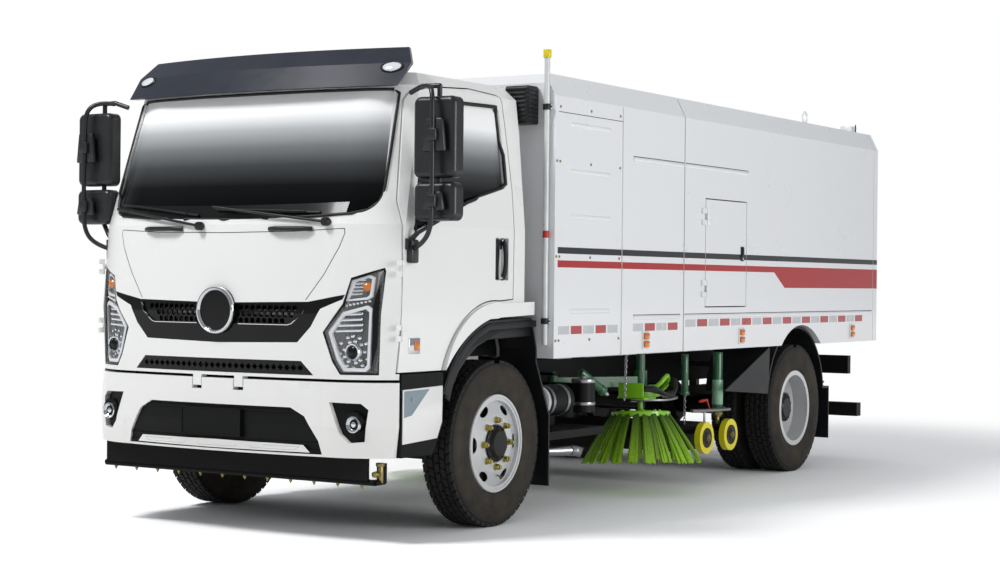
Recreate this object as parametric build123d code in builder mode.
from build123d import *
from math import atan2, cos, degrees, hypot, radians, sin
import os

# Street sweeper truck, millimetres. The front faces -Y, the left side is +X and +Z is up.
# The origin is on the ground, at the middle of the length and of the width.
# "v" in a comment or a table is a distance behind the front axle.

FRONT_OVERHANG = 1262
WHEELBASE = 4200
REAR_OVERHANG = 1590
FIT = 0.3           # seat clearance between pieces of one body
RUN = 6             # running clearance between moving pieces

AXLE_F = FRONT_OVERHANG - (FRONT_OVERHANG + WHEELBASE + REAR_OVERHANG) / 2
AXLE_R = AXLE_F + WHEELBASE

# Tyres 8.25 R20 on 6.5-20 discs
TYRE_R = 487
TYRE_HALF = 118
BEAD_R = 262
FLANGE_R = 295
RIM_HALF = 100
STUD_CIRCLE = 275
HUB_R = 105
FRONT_TRACK_X = 970
REAR_OUTER_X = 1043
DUAL_SPACING = 280
KINGPIN_X = 800

# Ladder frame
RAIL_OUT = 425
RAIL_FLANGE = 75
RAIL_WEB = 8
PIVOT_PLATE = 14
RAIL_LOW = 690
RAIL_HIGH = 910
RAIL_FRONT_V = -1050
RAIL_REAR_V = 5480
CAB_REST_V = 180

# Cab
CAB_WALL = 60
CAB_LOW = 896
CAB_SILL = 936
CAB_FLOOR = 1236
FLOOR_T = 30
CAB_TOP = 2600
ROOF_T = 40
DOOR_GAP = 8
PIVOT_V = 47 - FRONT_OVERHANG
PIVOT_Z = 850
PIVOT_X = 150
LUG_WIDE = 60
LUG_HALF = 23
DOOR_AXIS_X = 1097
DOOR_AXIS_V = -1005
DOOR_HINGES = (1150, 1500)

# Bumper
BUMPER_LOW = 472
BUMPER_HIGH = 880
BUMPER_T = 45

# Box body
BODY_HALF = 1190
BODY_LOW = 975
BODY_EDGE = 2563
BODY_TOP = 2700
ROOF_HALF = 1122
BOX_FRONT_V = 436
BOX_REAR_V = 2180
HOPPER_GAP = 12
TAILGATE_T = 84
WALL = 50
HOPPER_PIVOT_V = 5480
HOPPER_PIVOT_Z = 935
PIN_R = 20
PIN_PLAY = 0.05

# Sweeping gear
BRUSH_X = 880
BRUSH_V = 2160
BRUSH_R = 400
BRUSH_TOP = 615
BRISTLE = 375
TILT = 3.5
ARM_X = 510
ARM_V = 1600
ARM_Z = 760
NOZZLE_HALF = 900
NOZZLE_V = 2950
NOZZLE_LONG = 560
NOZZLE_LOW = 240
NOZZLE_HIGH = 430
CASTER_R = 113
CASTER_X = 1080
CASTER_Z = 345
CASTER_SPREAD = 395
DUCT_R = 124
DUCT_X = -200
NOZZLE_DROP = 220
GUIDE_X = 480
GUIDE_R = 22

CROSS_V = (-900, 760, 1500, 2560, 3200, 5300)
CYL_X = 250
CYL_FOOT = (4450, 745)
CYL_EYE = (3600, 915)
ROD_R = 35
ARM_BOSS = 90
ARM_PIN_R = 18
TOW_R = 16
TOW_V = -960
TOW_Z = 600

BOSS_Z = 1260
BOSS_R = 132

# Cab outline in plan at each height: height, half width, setback of the nose from the truck's front
# end, half width of the flat front, bow of that front, depth of the rounded corner, rear v
CAB = [
    (CAB_LOW, 1078, 24, 700, 45, 190, 285),
    (1250, 1088, 12, 700, 45, 190, 272),
    (1740, 1088, 57, 700, 45, 190, 272),
    (2320, 1037, 258, 700, 38, 160, 276),
    (2520, 1015, 327, 700, 35, 150, 272),
    (CAB_TOP, 940, 422, 640, 30, 140, 235),
]

# Bumper outline in plan: height, half width, setback, half flat, bow, corner depth
BUMPER = [
    (BUMPER_LOW, 1060, 27, 715, 50, 150),
    (640, 1078, 12, 715, 50, 170),
    (BUMPER_HIGH, 1078, 22, 700, 45, 180),
]
BUMPER_REAR_V = -1000


def side(x):
    """Seen from the left: first coordinate to the rear, second one up."""
    return Plane(origin=(x, 0, 0), x_dir=(0, 1, 0), z_dir=(1, 0, 0))


def face_on(y):
    """Seen from the front: first coordinate to the left side, second one up."""
    return Plane(origin=(0, y, 0), x_dir=(1, 0, 0), z_dir=(0, -1, 0))


def at(v, z):
    """A side-view point from its distance behind the front axle and its height."""
    return (AXLE_F + v, z)


def plan(z, half, setback, flat, bow, corner, rear, inset=0):
    """One level of the cab or the bumper, with a bowed front and rounded corners."""
    half = half - inset
    flat = flat - inset * 0.5
    y0 = AXLE_F - FRONT_OVERHANG + setback + inset
    y1 = y0 + bow
    y2 = y1 + corner
    y3 = AXLE_F + rear - inset
    mid = (flat + 0.68 * (half - flat), y1 + 0.42 * corner)
    with BuildSketch(Plane.XY.offset(z)) as level:
        with BuildLine():
            ThreePointArc((-flat, y1), (0, y0), (flat, y1))
            ThreePointArc((flat, y1), mid, (half, y2))
            Polyline((half, y2), (half, y3), (-half, y3), (-half, y2))
            ThreePointArc((-half, y2), (-mid[0], mid[1]), (-flat, y1))
        make_face()
    return level.sketch


def between(rows, z):
    """A row of a section table at any height."""
    for low, high in zip(rows, rows[1:]):
        if z <= high[0]:
            break
    part = (z - low[0]) / (high[0] - low[0])
    return tuple(a + part * (b - a) for a, b in zip(low, high))


def cab_volume(inset=0, low=CAB_LOW, high=CAB_TOP):
    """The cab as a filled form, its walls drawn in by inset."""
    heights = [low] + [row[0] for row in CAB if low < row[0] < high] + [high]
    levels = [plan(*between(CAB, z), inset=inset) for z in heights]
    return loft(levels, ruled=True, mode=Mode.PRIVATE)


def bumper_volume(inset=0, low=BUMPER_LOW, high=BUMPER_HIGH):
    """The bumper as a filled form, its walls drawn in by inset but longer to the rear."""
    heights = [low] + [row[0] for row in BUMPER if low < row[0] < high] + [high]
    rear = BUMPER_REAR_V + 3 * inset
    levels = [plan(*between(BUMPER, z), rear, inset=inset) for z in heights]
    return loft(levels, ruled=True, mode=Mode.PRIVATE)


def tube(points, radius):
    """A round bar along straight runs, its corners closed by balls."""
    for a, b in zip(points, points[1:]):
        run = Vector(*b) - Vector(*a)
        with BuildSketch(Plane(origin=a, z_dir=run)) as end:
            Circle(radius)
        extrude(end.sketch, amount=run.length)
    for corner in points[1:-1]:
        with Locations(corner):
            Sphere(radius)


# Frame: two channel rails, each with its brackets, and the cross members between them
def make_rail():
    """The left rail: an open channel with the brackets that it carries."""
    with BuildPart() as rail:
        with BuildSketch(face_on(AXLE_F + RAIL_REAR_V)):
            with Locations((RAIL_OUT - RAIL_FLANGE / 2, (RAIL_LOW + RAIL_HIGH) / 2)):
                Rectangle(RAIL_FLANGE, RAIL_HIGH - RAIL_LOW)
            with Locations((RAIL_OUT - RAIL_FLANGE / 2 - RAIL_WEB, (RAIL_LOW + RAIL_HIGH) / 2)):
                Rectangle(RAIL_FLANGE, RAIL_HIGH - RAIL_LOW - 2 * RAIL_WEB, mode=Mode.SUBTRACT)
        extrude(amount=RAIL_REAR_V - RAIL_FRONT_V)
        # hopper pivot bracket
        with BuildSketch(side(RAIL_OUT)):
            with Locations(at(HOPPER_PIVOT_V, HOPPER_PIVOT_Z)):
                Circle(34)
            with Locations(at(HOPPER_PIVOT_V - 23, (HOPPER_PIVOT_Z + 790) / 2)):
                Rectangle(114, HOPPER_PIVOT_Z - 790)
            with Locations(at(HOPPER_PIVOT_V, HOPPER_PIVOT_Z)):
                Circle(PIN_R + PIN_PLAY, mode=Mode.SUBTRACT)
        extrude(amount=PIVOT_PLATE)
        # clevis of the brush arm
        for z in (ARM_Z + ARM_BOSS / 2 + RUN + 8, ARM_Z - ARM_BOSS / 2 - RUN - 8):
            with Locations(((RAIL_OUT + ARM_X) / 2, AXLE_F + ARM_V, z)):
                Box(ARM_X - RAIL_OUT, 70, 16)
            with Locations((ARM_X, AXLE_F + ARM_V, z)):
                Cylinder(40, 16)
                Cylinder(ARM_PIN_R + PIN_PLAY, 16, mode=Mode.SUBTRACT)
        # rear rest of the cab
        with Locations((RAIL_OUT - 35, AXLE_F + CAB_REST_V, (RAIL_HIGH + CAB_FLOOR) / 2)):
            Box(50, 60, CAB_FLOOR - RAIL_HIGH)
        # front towing eye: a hanger under the rail with a level plate and its bore
        with Locations((RAIL_OUT - 30, AXLE_F + TOW_V, (RAIL_LOW + TOW_Z) / 2)):
            Box(16, 90, RAIL_LOW - TOW_Z)
        with Locations((RAIL_OUT - 65, AXLE_F + TOW_V, TOW_Z)):
            Box(86, 90, 16)
            Cylinder(TOW_R, 16, mode=Mode.SUBTRACT)
        # guide sleeve of the nozzle
        with Locations((GUIDE_X, AXLE_F + NOZZLE_V, 760)):
            Cylinder(GUIDE_R + 14, 90)
        with Locations(((GUIDE_X + RAIL_OUT) / 2, AXLE_F + NOZZLE_V, 770)):
            Box(GUIDE_X - RAIL_OUT, 40, 60)
        with Locations((GUIDE_X, AXLE_F + NOZZLE_V, 760)):
            Cylinder(GUIDE_R + PIN_PLAY, 90, mode=Mode.SUBTRACT)
    return rail.part


with BuildPart() as rail_left:
    add(make_rail())
with BuildPart() as rail_right:
    add(mirror(rail_left.part, about=Plane.YZ, mode=Mode.PRIVATE))
with BuildPart() as cross_members:
    for v in CROSS_V:
        with BuildSketch(side(-RAIL_OUT + RAIL_WEB)):
            with Locations(at(v, RAIL_HIGH - 60)):
                Rectangle(90, 100)
        extrude(amount=2 * (RAIL_OUT - RAIL_WEB))
    # rear towing jaw on the last one
    with Locations((0, AXLE_F + CROSS_V[-1] + 45 + 50, RAIL_HIGH - 60)):
        Box(80, 100, 60)
        Cylinder(TOW_R, 60, mode=Mode.SUBTRACT)
    # shaft that carries the feet of the tipping cylinders
    with BuildSketch(side(-RAIL_OUT + RAIL_WEB)):
        with Locations(at(*CYL_FOOT)):
            Circle(PIN_R)
    extrude(amount=2 * (RAIL_OUT - RAIL_WEB))


def leaf_pack(axle_v, half_long, low, high, width):
    """A stack of leaves under one rail, tapered towards its eyes."""
    with BuildSketch(side(RAIL_OUT - RAIL_FLANGE)) as pack:
        with BuildLine():
            Polyline(
                at(axle_v - half_long, high), at(axle_v - half_long * 0.25, low),
                at(axle_v + half_long * 0.25, low), at(axle_v + half_long, high),
                at(axle_v + half_long, high + 22), at(axle_v + half_long * 0.25, low + 90),
                at(axle_v - half_long * 0.25, low + 90), at(axle_v - half_long, high + 22),
                close=True,
            )
        make_face()
    return extrude(pack.sketch, amount=width, mode=Mode.PRIVATE)


# Front axle: dropped beam on leaf springs, king pin bosses at its ends
SPRING_W = 70
with BuildPart() as front_axle:
    with BuildSketch(face_on(AXLE_F + 45)):
        with BuildLine():
            Polyline(
                (-KINGPIN_X + 40, 450), (-620, 450), (-520, 370), (520, 370), (620, 450),
                (KINGPIN_X - 40, 450), (KINGPIN_X - 40, 535), (600, 535), (500, 455),
                (-500, 455), (-600, 535), (-KINGPIN_X + 40, 535), close=True,
            )
        make_face()
    extrude(amount=90)
    for s in (-1, 1):
        with Locations((s * KINGPIN_X, AXLE_F, TYRE_R)):
            Cylinder(48, 130)
            Cylinder(21, 130, mode=Mode.SUBTRACT)
    add(leaf_pack(0, 720, 455, 640, SPRING_W))
    add(mirror(leaf_pack(0, 720, 455, 640, SPRING_W), about=Plane.YZ, mode=Mode.PRIVATE))
    # hangers up to the rails
    for s in (-1, 1):
        for v in (-700, 700):
            with Locations((s * (RAIL_OUT - RAIL_FLANGE + SPRING_W / 2), AXLE_F + v, (640 + RAIL_LOW) / 2)):
                Box(SPRING_W, 60, RAIL_LOW - 640)

# Rear axle: banjo housing, tubes, leaf springs
with BuildPart() as rear_axle:
    with BuildSketch(side(-560)):
        with Locations(at(WHEELBASE, TYRE_R)):
            Circle(75)
    extrude(amount=1120)
    with BuildSketch(side(-170)):
        with Locations(at(WHEELBASE, TYRE_R)):
            Circle(190)
    extrude(amount=340)
    chamfer(rear_axle.edges().filter_by(GeomType.CIRCLE).group_by(SortBy.RADIUS)[-1], 70)
    with Locations(Location((0, AXLE_R - 215, TYRE_R), (90, 0, 0))):
        Cone(70, 110, 120)
    for s in (-1, 1):
        with BuildSketch(side(s * 560)):
            with Locations(at(WHEELBASE, TYRE_R)):
                Circle(175)
        extrude(amount=s * 60)
        with BuildSketch(side(s * 620)):
            with Locations(at(WHEELBASE, TYRE_R)):
                Circle(48)
        extrude(amount=s * (REAR_OUTER_X - 620))
    add(leaf_pack(WHEELBASE, 760, 550, 640, SPRING_W))
    add(mirror(leaf_pack(WHEELBASE, 760, 550, 640, SPRING_W), about=Plane.YZ, mode=Mode.PRIVATE))
    for s in (-1, 1):
        for v in (WHEELBASE - 740, WHEELBASE + 740):
            with Locations((s * (RAIL_OUT - RAIL_FLANGE + SPRING_W / 2), AXLE_F + v, (640 + RAIL_LOW) / 2)):
                Box(SPRING_W, 60, RAIL_LOW - 640)

# Power train: engine and gearbox as plain blocks, and the propeller shaft
with BuildPart() as powertrain:
    with Locations((0, AXLE_F - 250, 860)):
        Box(520, 1000, 520)
    with Locations((0, AXLE_F + 470, 780)):
        Box(300, 460, 300)
    tube([(0, AXLE_F + 690, 740), (0, AXLE_R - 279, TYRE_R + 10)], 45)
    for s in (-1, 1):
        with Locations((s * (250 + RAIL_OUT - RAIL_WEB - FIT) / 2, AXLE_F - 250, 800)):
            Box(RAIL_OUT - RAIL_WEB - FIT - 250, 80, 40)

# Bumper: a bowed shell with a centre opening and fog lamp recesses
OPENING_TOP = 735
OPENING_HALF = 505
MOUTH_HALF = 700
MOUTH_LOW = BUMPER_LOW + 12


def mouth(grow=0):
    """The bumper's centre opening, seen from the front."""
    with BuildSketch(face_on(AXLE_F - 1100)) as shape:
        with BuildLine():
            Polyline(
                (-OPENING_HALF, OPENING_TOP), (OPENING_HALF, OPENING_TOP),
                (OPENING_HALF + 90, OPENING_TOP - 45), (MOUTH_HALF - 20, 560),
                (MOUTH_HALF, MOUTH_LOW), (-MOUTH_HALF, MOUTH_LOW), (-MOUTH_HALF + 20, 560),
                (-OPENING_HALF - 90, OPENING_TOP - 45), close=True,
            )
        make_face()
        if grow:
            offset(amount=grow, kind=Kind.INTERSECTION)
    return shape.sketch


def fog_outline(s, grow=0):
    """A fog lamp recess, seen from the front."""
    with BuildSketch(face_on(AXLE_F - 1000)) as shape:
        with BuildLine():
            Polyline(
                (s * 748, 772), (s * 925, 768), (s * 962, 735), (s * 945, 562),
                (s * 860, 553), (s * 815, 600), close=True,
            )
        make_face()
        if grow:
            offset(amount=grow, kind=Kind.INTERSECTION)
    return shape.sketch


with BuildPart() as bumper:
    add(bumper_volume())
    add(bumper_volume(BUMPER_T), mode=Mode.SUBTRACT)
    extrude(mouth(), amount=260, mode=Mode.SUBTRACT)
    for s in (-1, 1):
        extrude(fog_outline(s), amount=300, mode=Mode.SUBTRACT)
    for s in (-1, 1):
        with Locations((s * (RAIL_OUT - RAIL_WEB / 2 - 30), AXLE_F - 1120, 800)):
            Box(60, 140, 110)
        # notch in the top edge with the pin on which the cab tilts
        with Locations((s * PIVOT_X, AXLE_F + PIVOT_V, PIVOT_Z + 17)):
            Box(LUG_WIDE + 2 * RUN, 120, 100, mode=Mode.SUBTRACT)
        with Locations(Location((s * PIVOT_X, AXLE_F + PIVOT_V, PIVOT_Z), (0, 90, 0))):
            Cylinder(9, LUG_WIDE + 2 * RUN + 28)


# Black insert in the bumper's mouth: a panel with the holder of the number plate, and the two fog lamps
PLATE = (432, 155)
PLATE_AT = (-36, 635)
PLATE_FRONT_V = -1256
INSERT_LIPS = (500, 540, 712)
PLATE_SLOTS = ((-105, 48), (105, 48), (-105, -48), (105, -48))
with BuildPart() as bumper_insert:
    extrude(mouth(-FIT), amount=260)
    add(bumper_volume(14), mode=Mode.INTERSECT)
    add(bumper_volume(30), mode=Mode.SUBTRACT)
    # raised lip along the top and bottom of the panel
    for z in INSERT_LIPS:
        with BuildPart(mode=Mode.PRIVATE) as lip:
            add(bumper_volume(6, z - 5, z + 5))
            add(bumper_volume(22, z - 5, z + 5), mode=Mode.SUBTRACT)
            extrude(mouth(-FIT), amount=260, mode=Mode.INTERSECT)
        add(lip.part)
    for s in (-1, 1):
        with BuildPart(mode=Mode.PRIVATE) as fog:
            extrude(fog_outline(s, -FIT), amount=300)
            add(bumper_volume(25), mode=Mode.INTERSECT)
            add(bumper_volume(BUMPER_T + 10), mode=Mode.SUBTRACT)
        add(fog.part)
        with Locations(Location((s * 885, AXLE_F - 1128, 668), (90, 0, 0))):
            Cylinder(55, 60)
    with Locations((PLATE_AT[0], AXLE_F + PLATE_FRONT_V + 15, PLATE_AT[1])):
        Box(PLATE[0], 30, PLATE[1])
    # sunk field of the holder, and its four slots
    with Locations((PLATE_AT[0], AXLE_F + PLATE_FRONT_V, PLATE_AT[1])):
        Box(PLATE[0] - 16, 6, PLATE[1] - 16, mode=Mode.SUBTRACT)
    with BuildSketch(face_on(AXLE_F + PLATE_FRONT_V)):
        for x, z in PLATE_SLOTS:
            with Locations((PLATE_AT[0] + x, PLATE_AT[1] + z)):
                SlotOverall(30, 10)
    extrude(amount=20, mode=Mode.SUBTRACT)

# Step boxes between the bumper and the front wheels
STEP_IN = 830
STEP_OUT = 1088
STEP_FRONT_V = BUMPER_REAR_V + RUN
STEP_REAR_V = -590
STEP_HIGH = 926
with BuildPart() as step_boxes:
    with BuildSketch(side(STEP_IN)):
        with BuildLine():
            Polyline(
                at(STEP_FRONT_V, BUMPER_LOW), at(-690, BUMPER_LOW), at(STEP_REAR_V, 640),
                at(STEP_REAR_V, STEP_HIGH), at(STEP_FRONT_V, STEP_HIGH), close=True,
            )
        make_face()
    extrude(amount=STEP_OUT - STEP_IN)
    # foot wells: the lower tread and the upper tread
    with BuildSketch(side(STEP_OUT)):
        with Locations(at(-800, 600)):
            Rectangle(290, 90)
    extrude(amount=-150, mode=Mode.SUBTRACT)
    with Locations(((STEP_IN + RAIL_OUT) / 2, AXLE_F - 880, 800)):
        Box(STEP_IN - RAIL_OUT, 90, 90)
    mirror(about=Plane.YZ)

# Mudguards: a black band over each front wheel with a flap behind, and a fender over each rear pair
GUARD_IN = 830
GUARD_OUT = 1086
GUARD_T = 14
ARCH_FRONT = (-575, 800)
ARCH_RISE = (-370, 1070)
ARCH_CROWN = (-111, 1192)
ARCH_REAR = (352, 1206)
FLAP_V = 575
FENDER_V = WHEELBASE + 13
FENDER_Z = 573
FENDER_R = 526
FENDER_IN = 640
FENDER_OUT = 1150
with BuildPart() as mudguards:
    with BuildSketch(side(GUARD_IN)):
        with BuildLine():
            ThreePointArc(at(*ARCH_FRONT), at(*ARCH_RISE), at(*ARCH_CROWN))
            Polyline(
                at(*ARCH_CROWN), at(*ARCH_REAR), at(410, 1030), at(416, 950), at(FLAP_V, 620),
                at(FLAP_V, 190),
                at(FLAP_V + GUARD_T, 190), at(FLAP_V + GUARD_T, 624), at(430, 954), at(424, 1032),
                at(ARCH_REAR[0] + 10, ARCH_REAR[1] + GUARD_T),
                at(ARCH_CROWN[0] - 2, ARCH_CROWN[1] + GUARD_T),
            )
            ThreePointArc(at(ARCH_CROWN[0] - 2, ARCH_CROWN[1] + GUARD_T),
                          at(ARCH_RISE[0] - 10, ARCH_RISE[1] + GUARD_T),
                          at(ARCH_FRONT[0] - GUARD_T, ARCH_FRONT[1]))
            Line(at(ARCH_FRONT[0] - GUARD_T, ARCH_FRONT[1]), at(*ARCH_FRONT))
        make_face()
    extrude(amount=GUARD_OUT - GUARD_IN)
    with Locations(((GUARD_IN + RAIL_OUT) / 2 + 5, AXLE_F + 508, 800)):
        Box(GUARD_IN - RAIL_OUT + 10, 34, 40)
    # rear fender band
    with BuildSketch(side(FENDER_IN)):
        with Locations(at(FENDER_V, FENDER_Z)):
            Circle(FENDER_R + GUARD_T)
            Circle(FENDER_R, mode=Mode.SUBTRACT)
        with Locations(at(FENDER_V, FENDER_Z - 500 + 45)):
            Rectangle(1400, 1000, mode=Mode.SUBTRACT)
    extrude(amount=FENDER_OUT - FENDER_IN)
    # outer lip, the guard panel ahead of the fender and the flap behind it
    with BuildSketch(side(FENDER_OUT - 10)):
        with BuildLine():
            Polyline(at(2939, 671), at(3690, 618), at(3712, 967), close=True)
        make_face()
    extrude(amount=10)
    with Locations(((FENDER_IN + FENDER_OUT) / 2, AXLE_F + FENDER_V + FENDER_R + 64, FENDER_Z + 50)):
        Box(FENDER_OUT - FENDER_IN, 128, GUARD_T)
    with Locations(((FENDER_IN + FENDER_OUT) / 2, AXLE_F + FENDER_V + FENDER_R + 122, 420)):
        Box(FENDER_OUT - FENDER_IN, 12, 410)
    for v in (FENDER_V - FENDER_R * 0.89, FENDER_V + FENDER_R * 0.89):
        with Locations(((RAIL_OUT + FENDER_IN + 10) / 2, AXLE_F + v, 825)):
            Box(FENDER_IN + 10 - RAIL_OUT, 40, 40)
    mirror(about=Plane.YZ)

# Rear bars: lamp bar, underrun bar and their brackets
with BuildPart() as rear_bars:
    with Locations((0, AXLE_F + 5545, 775)):
        Box(2100, 60, 150)
    with Locations((0, AXLE_F + 5640, 400)):
        Box(2200, 90, 110)
    for s in (-1, 1):
        with Locations((s * 380, AXLE_F + 5545, 560)):
            Box(70, 60, 400)
        with Locations((s * 380, AXLE_F + 5600, 400)):
            Box(70, 100, 80)
        with Locations((s * (RAIL_OUT - RAIL_WEB - 36), AXLE_F + 5490, 800)):
            Box(72, 70, 100)

# Side equipment under the box on the left: air tank, canister, tray
with BuildPart() as side_equipment:
    with Locations(Location((900, AXLE_F + 890, 690), (90, 0, 0))):
        Cylinder(98, 312)
    with Locations((900, AXLE_F + 1331, 690)):
        Cylinder(75, 190)
    with Locations((840, AXLE_F + 1086, 478)):
        Box(320, 700, 50)
    for v in (890, 1331):
        with Locations(((RAIL_OUT + 830) / 2, AXLE_F + v, 750)):
            Box(830 - RAIL_OUT, 60, 60)
    with Locations((700, AXLE_F + 1240, 620)):
        Box(40, 60, 300)
    with Locations((700, AXLE_F + 890, 620)):
        Box(40, 60, 300)

# Exhaust: silencer behind the cab with its tail pipe to the left
with BuildPart() as exhaust:
    with Locations(Location((520, AXLE_F + 1060, 560), (90, 0, 0))):
        Cylinder(100, 500)
    tube([(520, AXLE_F + 820, 560), (520, AXLE_F + 700, 420),
          (900, AXLE_F + 830, 372), (1000, AXLE_F + 1000, 372)], 32)
    with Locations((RAIL_OUT + 35, AXLE_F + 1060, 690)):
        Box(70, 60, 90)

# Fuel tank under the box on the right
with BuildPart() as fuel_tank:
    with BuildSketch(face_on(AXLE_F + 1450)):
        with Locations((-800, 650)):
            RectangleRounded(480, 460, 90)
    extrude(amount=800)
    for v in (820, 1270):
        with Locations((-(RAIL_OUT + 580) / 2, AXLE_F + v, 760)):
            Box(580 - RAIL_OUT, 60, 120)
    with Locations((-800, AXLE_F + 760, 890)):
        Cylinder(45, 40)

# Suction duct from the hopper's front down to the nozzle's collar
DUCT_LOW = NOZZLE_HIGH + 80 - NOZZLE_DROP - 30
DUCT_HIGH = BODY_LOW - 16
with BuildPart() as suction_duct:
    with Locations((DUCT_X, AXLE_F + NOZZLE_V, (DUCT_LOW + DUCT_HIGH) / 2)):
        Cylinder(DUCT_R, DUCT_HIGH - DUCT_LOW)
    with Locations((DUCT_X, AXLE_F + NOZZLE_V, DUCT_HIGH - 10)):
        Cylinder(DUCT_R + 10, 20)
    inner = RAIL_OUT - RAIL_WEB
    for x0, x1 in ((-inner, DUCT_X - DUCT_R + 38), (DUCT_X + DUCT_R - 38, inner)):
        with Locations(((x0 + x1) / 2, AXLE_F + NOZZLE_V + 70, 840)):
            Box(x1 - x0, 40, 60)
    with Locations((DUCT_X, AXLE_F + NOZZLE_V, (DUCT_LOW + DUCT_HIGH) / 2)):
        Cylinder(DUCT_R - 10, DUCT_HIGH - DUCT_LOW, mode=Mode.SUBTRACT)

# Spray bars: front bar below the bumper, side bar ahead of the nozzle
with BuildPart() as spray_bars:
    with Locations((0, AXLE_F - 1105, 410)):
        Box(1900, 24, 120)
    tube([(-980, AXLE_F - 1085, 340), (980, AXLE_F - 1085, 340)], 17)
    for s in (-1, 1):
        with Locations((s * 400, AXLE_F - 1065, (460 + RAIL_LOW) / 2)):
            Box(50, 90, RAIL_LOW - 460)
        tube([(s * 980, AXLE_F - 1085, 340), (s * 980, AXLE_F - 1000, 340),
              (s * 980, AXLE_F - 1000, 440)], 17)


def body_outline(v0, v1, inset=0):
    """The box body's cross-section with its chamfered roof edges, extruded from v0 to v1."""
    rise = (BODY_TOP - BODY_EDGE)
    with BuildSketch(face_on(AXLE_F + v1)) as outline:
        with BuildLine():
            Polyline(
                (-BODY_HALF + inset, BODY_LOW + inset), (BODY_HALF - inset, BODY_LOW + inset),
                (BODY_HALF - inset, BODY_EDGE - inset * 0.5),
                (ROOF_HALF - inset * 0.5, BODY_EDGE + rise - inset),
                (-ROOF_HALF + inset * 0.5, BODY_EDGE + rise - inset),
                (-BODY_HALF + inset, BODY_EDGE - inset * 0.5),
                close=True,
            )
        make_face()
    return extrude(outline.sketch, amount=v1 - v0, mode=Mode.PRIVATE)


# Front box: fixed housing of the water tank and the auxiliary engine, a closed shell
POST_V = (1294, 1430)
with BuildPart() as front_box:
    add(body_outline(BOX_FRONT_V, BOX_REAR_V))
    chamfer(front_box.edges().group_by(Axis.Y)[0].filter_by(Axis.X).sort_by(Axis.Z)[-1], 60)
    add(body_outline(BOX_FRONT_V + WALL, BOX_REAR_V - WALL, WALL), mode=Mode.SUBTRACT)
    # proud frames: posts at both ends and between the two side panels, and the long rails
    for s in (-1, 1):
        for v0, v1 in ((BOX_FRONT_V, BOX_FRONT_V + 37), POST_V):
            with BuildSketch(side(s * BODY_HALF)):
                with Locations(at((v0 + v1) / 2, (BODY_LOW + BODY_EDGE) / 2)):
                    Rectangle(v1 - v0, BODY_EDGE - BODY_LOW)
            extrude(amount=s * 8)
    # feet on the rails
    for s in (-1, 1):
        for v in (700, 1900):
            with Locations((s * (RAIL_OUT - 40), AXLE_F + v, (RAIL_HIGH + BODY_LOW) / 2)):
                Box(80, 200, BODY_LOW - RAIL_HIGH)

# Auxiliary engine inside the front box
with BuildPart() as aux_engine:
    with Locations((150, AXLE_F + 1750, BODY_LOW + WALL + 400)):
        Box(700, 600, 800)

# Water level tube on the front corner
TUBE_X = 1150
with BuildPart() as level_tube:
    with Locations((TUBE_X, AXLE_F + 410, (1056 + 2832) / 2)):
        Cylinder(17, 2832 - 1056)
    with Locations((TUBE_X, AXLE_F + 423, 2490), (TUBE_X, AXLE_F + 423, 1200)):
        Box(46, 26 - 2 * FIT, 30)
    with Locations((TUBE_X, AXLE_F + 410, 2811)):
        Cylinder(23, 42)

# Air intake between the cab and the box
with BuildPart() as air_intake:
    with Locations((1000, AXLE_F + 366, 2500)):
        Box(150, 139, 230)
    fillet(air_intake.edges().filter_by(Axis.X), 20)


# Cab shell
def door_outline(s, grow=0):
    """One door's outline in the side view."""
    with BuildSketch(side(s * 850)) as shape:
        with BuildLine():
            Polyline(at(-600, CAB_SILL), at(-1013, CAB_SILL), at(-975, 1870), at(-833, 2418))
            ThreePointArc(at(-833, 2418), at(-790, 2480), at(-710, 2512))
            Polyline(at(-710, 2512), at(-206, 2545), at(60, 2530))
            ThreePointArc(at(60, 2530), at(92, 2515), at(105, 2480))
            Polyline(at(105, 2480), at(150, 1977), at(140, 1335), at(0, 1325))
            ThreePointArc(at(0, 1325), at(-385, 1222), at(-600, CAB_SILL))
        make_face()
        if grow:
            offset(amount=grow, kind=Kind.INTERSECTION)
    return shape.sketch


def window_outline(s, grow=0):
    """The side window, seen from the side."""
    with BuildSketch(side(s * 850)) as shape:
        with BuildLine():
            Polyline(at(-897, 1693), at(-728, 2445), at(62, 2462), at(85, 1985), at(-347, 1886), close=True)
        make_face()
        fillet(shape.vertices(), 35)
        if grow:
            offset(amount=grow)
    return shape.sketch


def screen_outline(g=0):
    """The windscreen, seen from the front, grown by g on every side."""
    with BuildSketch(face_on(AXLE_F - 700)) as shape:
        with BuildLine():
            ThreePointArc((-850, 1800 - g), (0, 1768 - g), (850, 1800 - g))
            ThreePointArc((850, 1800 - g), (940 + 0.7 * g, 1835 - 0.7 * g), (970 + g, 1910))
            Polyline((970 + g, 1910), (915 + g, 2505 + g), (-915 - g, 2505 + g), (-970 - g, 1910))
            ThreePointArc((-970 - g, 1910), (-940 - 0.7 * g, 1835 - 0.7 * g), (-850, 1800 - g))
        make_face()
    return shape.sketch


def lamp_outline(s, grow=0):
    """A headlamp, seen from the front."""
    with BuildSketch(face_on(AXLE_F - 1046)) as shape:
        with BuildLine():
            Polyline(
                (s * 707, 1150), (s * 824, 1304), (s * 842, 1370), (s * 862, 1447), (s * 1018, 1503),
                (s * 1024, 1485), (s * 1000, 922), (s * 809, 922), (s * 764, 993), close=True,
            )
        make_face()
        if grow:
            offset(amount=grow, kind=Kind.INTERSECTION)
    return shape.sketch


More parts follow.
